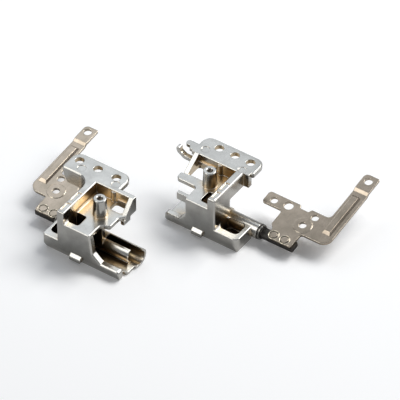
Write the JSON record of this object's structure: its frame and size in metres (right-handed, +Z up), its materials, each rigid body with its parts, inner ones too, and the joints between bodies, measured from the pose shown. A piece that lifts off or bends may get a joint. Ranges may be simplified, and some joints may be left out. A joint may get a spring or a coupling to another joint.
{
  "type": "laptop hinge pair",
  "caption": "Left and right laptop display hinges: die-cast housings with a friction barrel and stamped lid brackets.",
  "frame": {"origin": "middle of the pair's bounding box, on the table", "axes": "+X along both hinge axes, +Y towards the screw plates and lid brackets, +Z up"},
  "size_m": [0.0866, 0.0714, 0.0185],
  "materials": {
    "die_cast_zinc": "satin",
    "nickel_sheet": "satin",
    "black_oxide_steel": "satin",
    "bright_steel": "satin",
    "spring_steel": "satin"
  },
  "bodies": {
    "housings": {"left_housing": "die_cast_zinc", "left_friction_sleeve": "spring_steel", "left_wear_washer": "black_oxide_steel", "right_housing": "die_cast_zinc", "right_friction_sleeve": "spring_steel", "right_wear_washer": "black_oxide_steel"},
    "left_lid": {"left_shaft": "black_oxide_steel", "left_lid_bracket": "nickel_sheet", "left_rivets": "nickel_sheet", "left_thrust_washer": "bright_steel", "left_friction_washer": "bright_steel", "left_disc_spring_1": "spring_steel", "left_disc_spring_2": "spring_steel", "left_disc_spring_3": "spring_steel", "left_lock_washer": "bright_steel", "left_lock_nut": "bright_steel"},
    "right_lid": {"right_shaft": "black_oxide_steel", "right_lid_bracket": "nickel_sheet", "right_rivets": "nickel_sheet", "right_thrust_washer": "bright_steel", "right_friction_washer": "bright_steel", "right_disc_spring_1": "spring_steel", "right_disc_spring_2": "spring_steel", "right_disc_spring_3": "spring_steel", "right_lock_washer": "bright_steel", "right_lock_nut": "bright_steel"}
  },
  "joints": [
    {"name": "left_lid_hinge", "type": "hinge", "parent": "housings", "child": "left_lid", "pos_m": [-0.0232, -0.02535, 0.003], "axis": [-1, 0, 0], "range_deg": [-10, 135]},
    {"name": "right_lid_hinge", "type": "hinge", "parent": "housings", "child": "right_lid", "pos_m": [0.0124, 0.00385, 0.003], "axis": [-1, 0, 0], "range_deg": [-5, 140]}
  ]
}
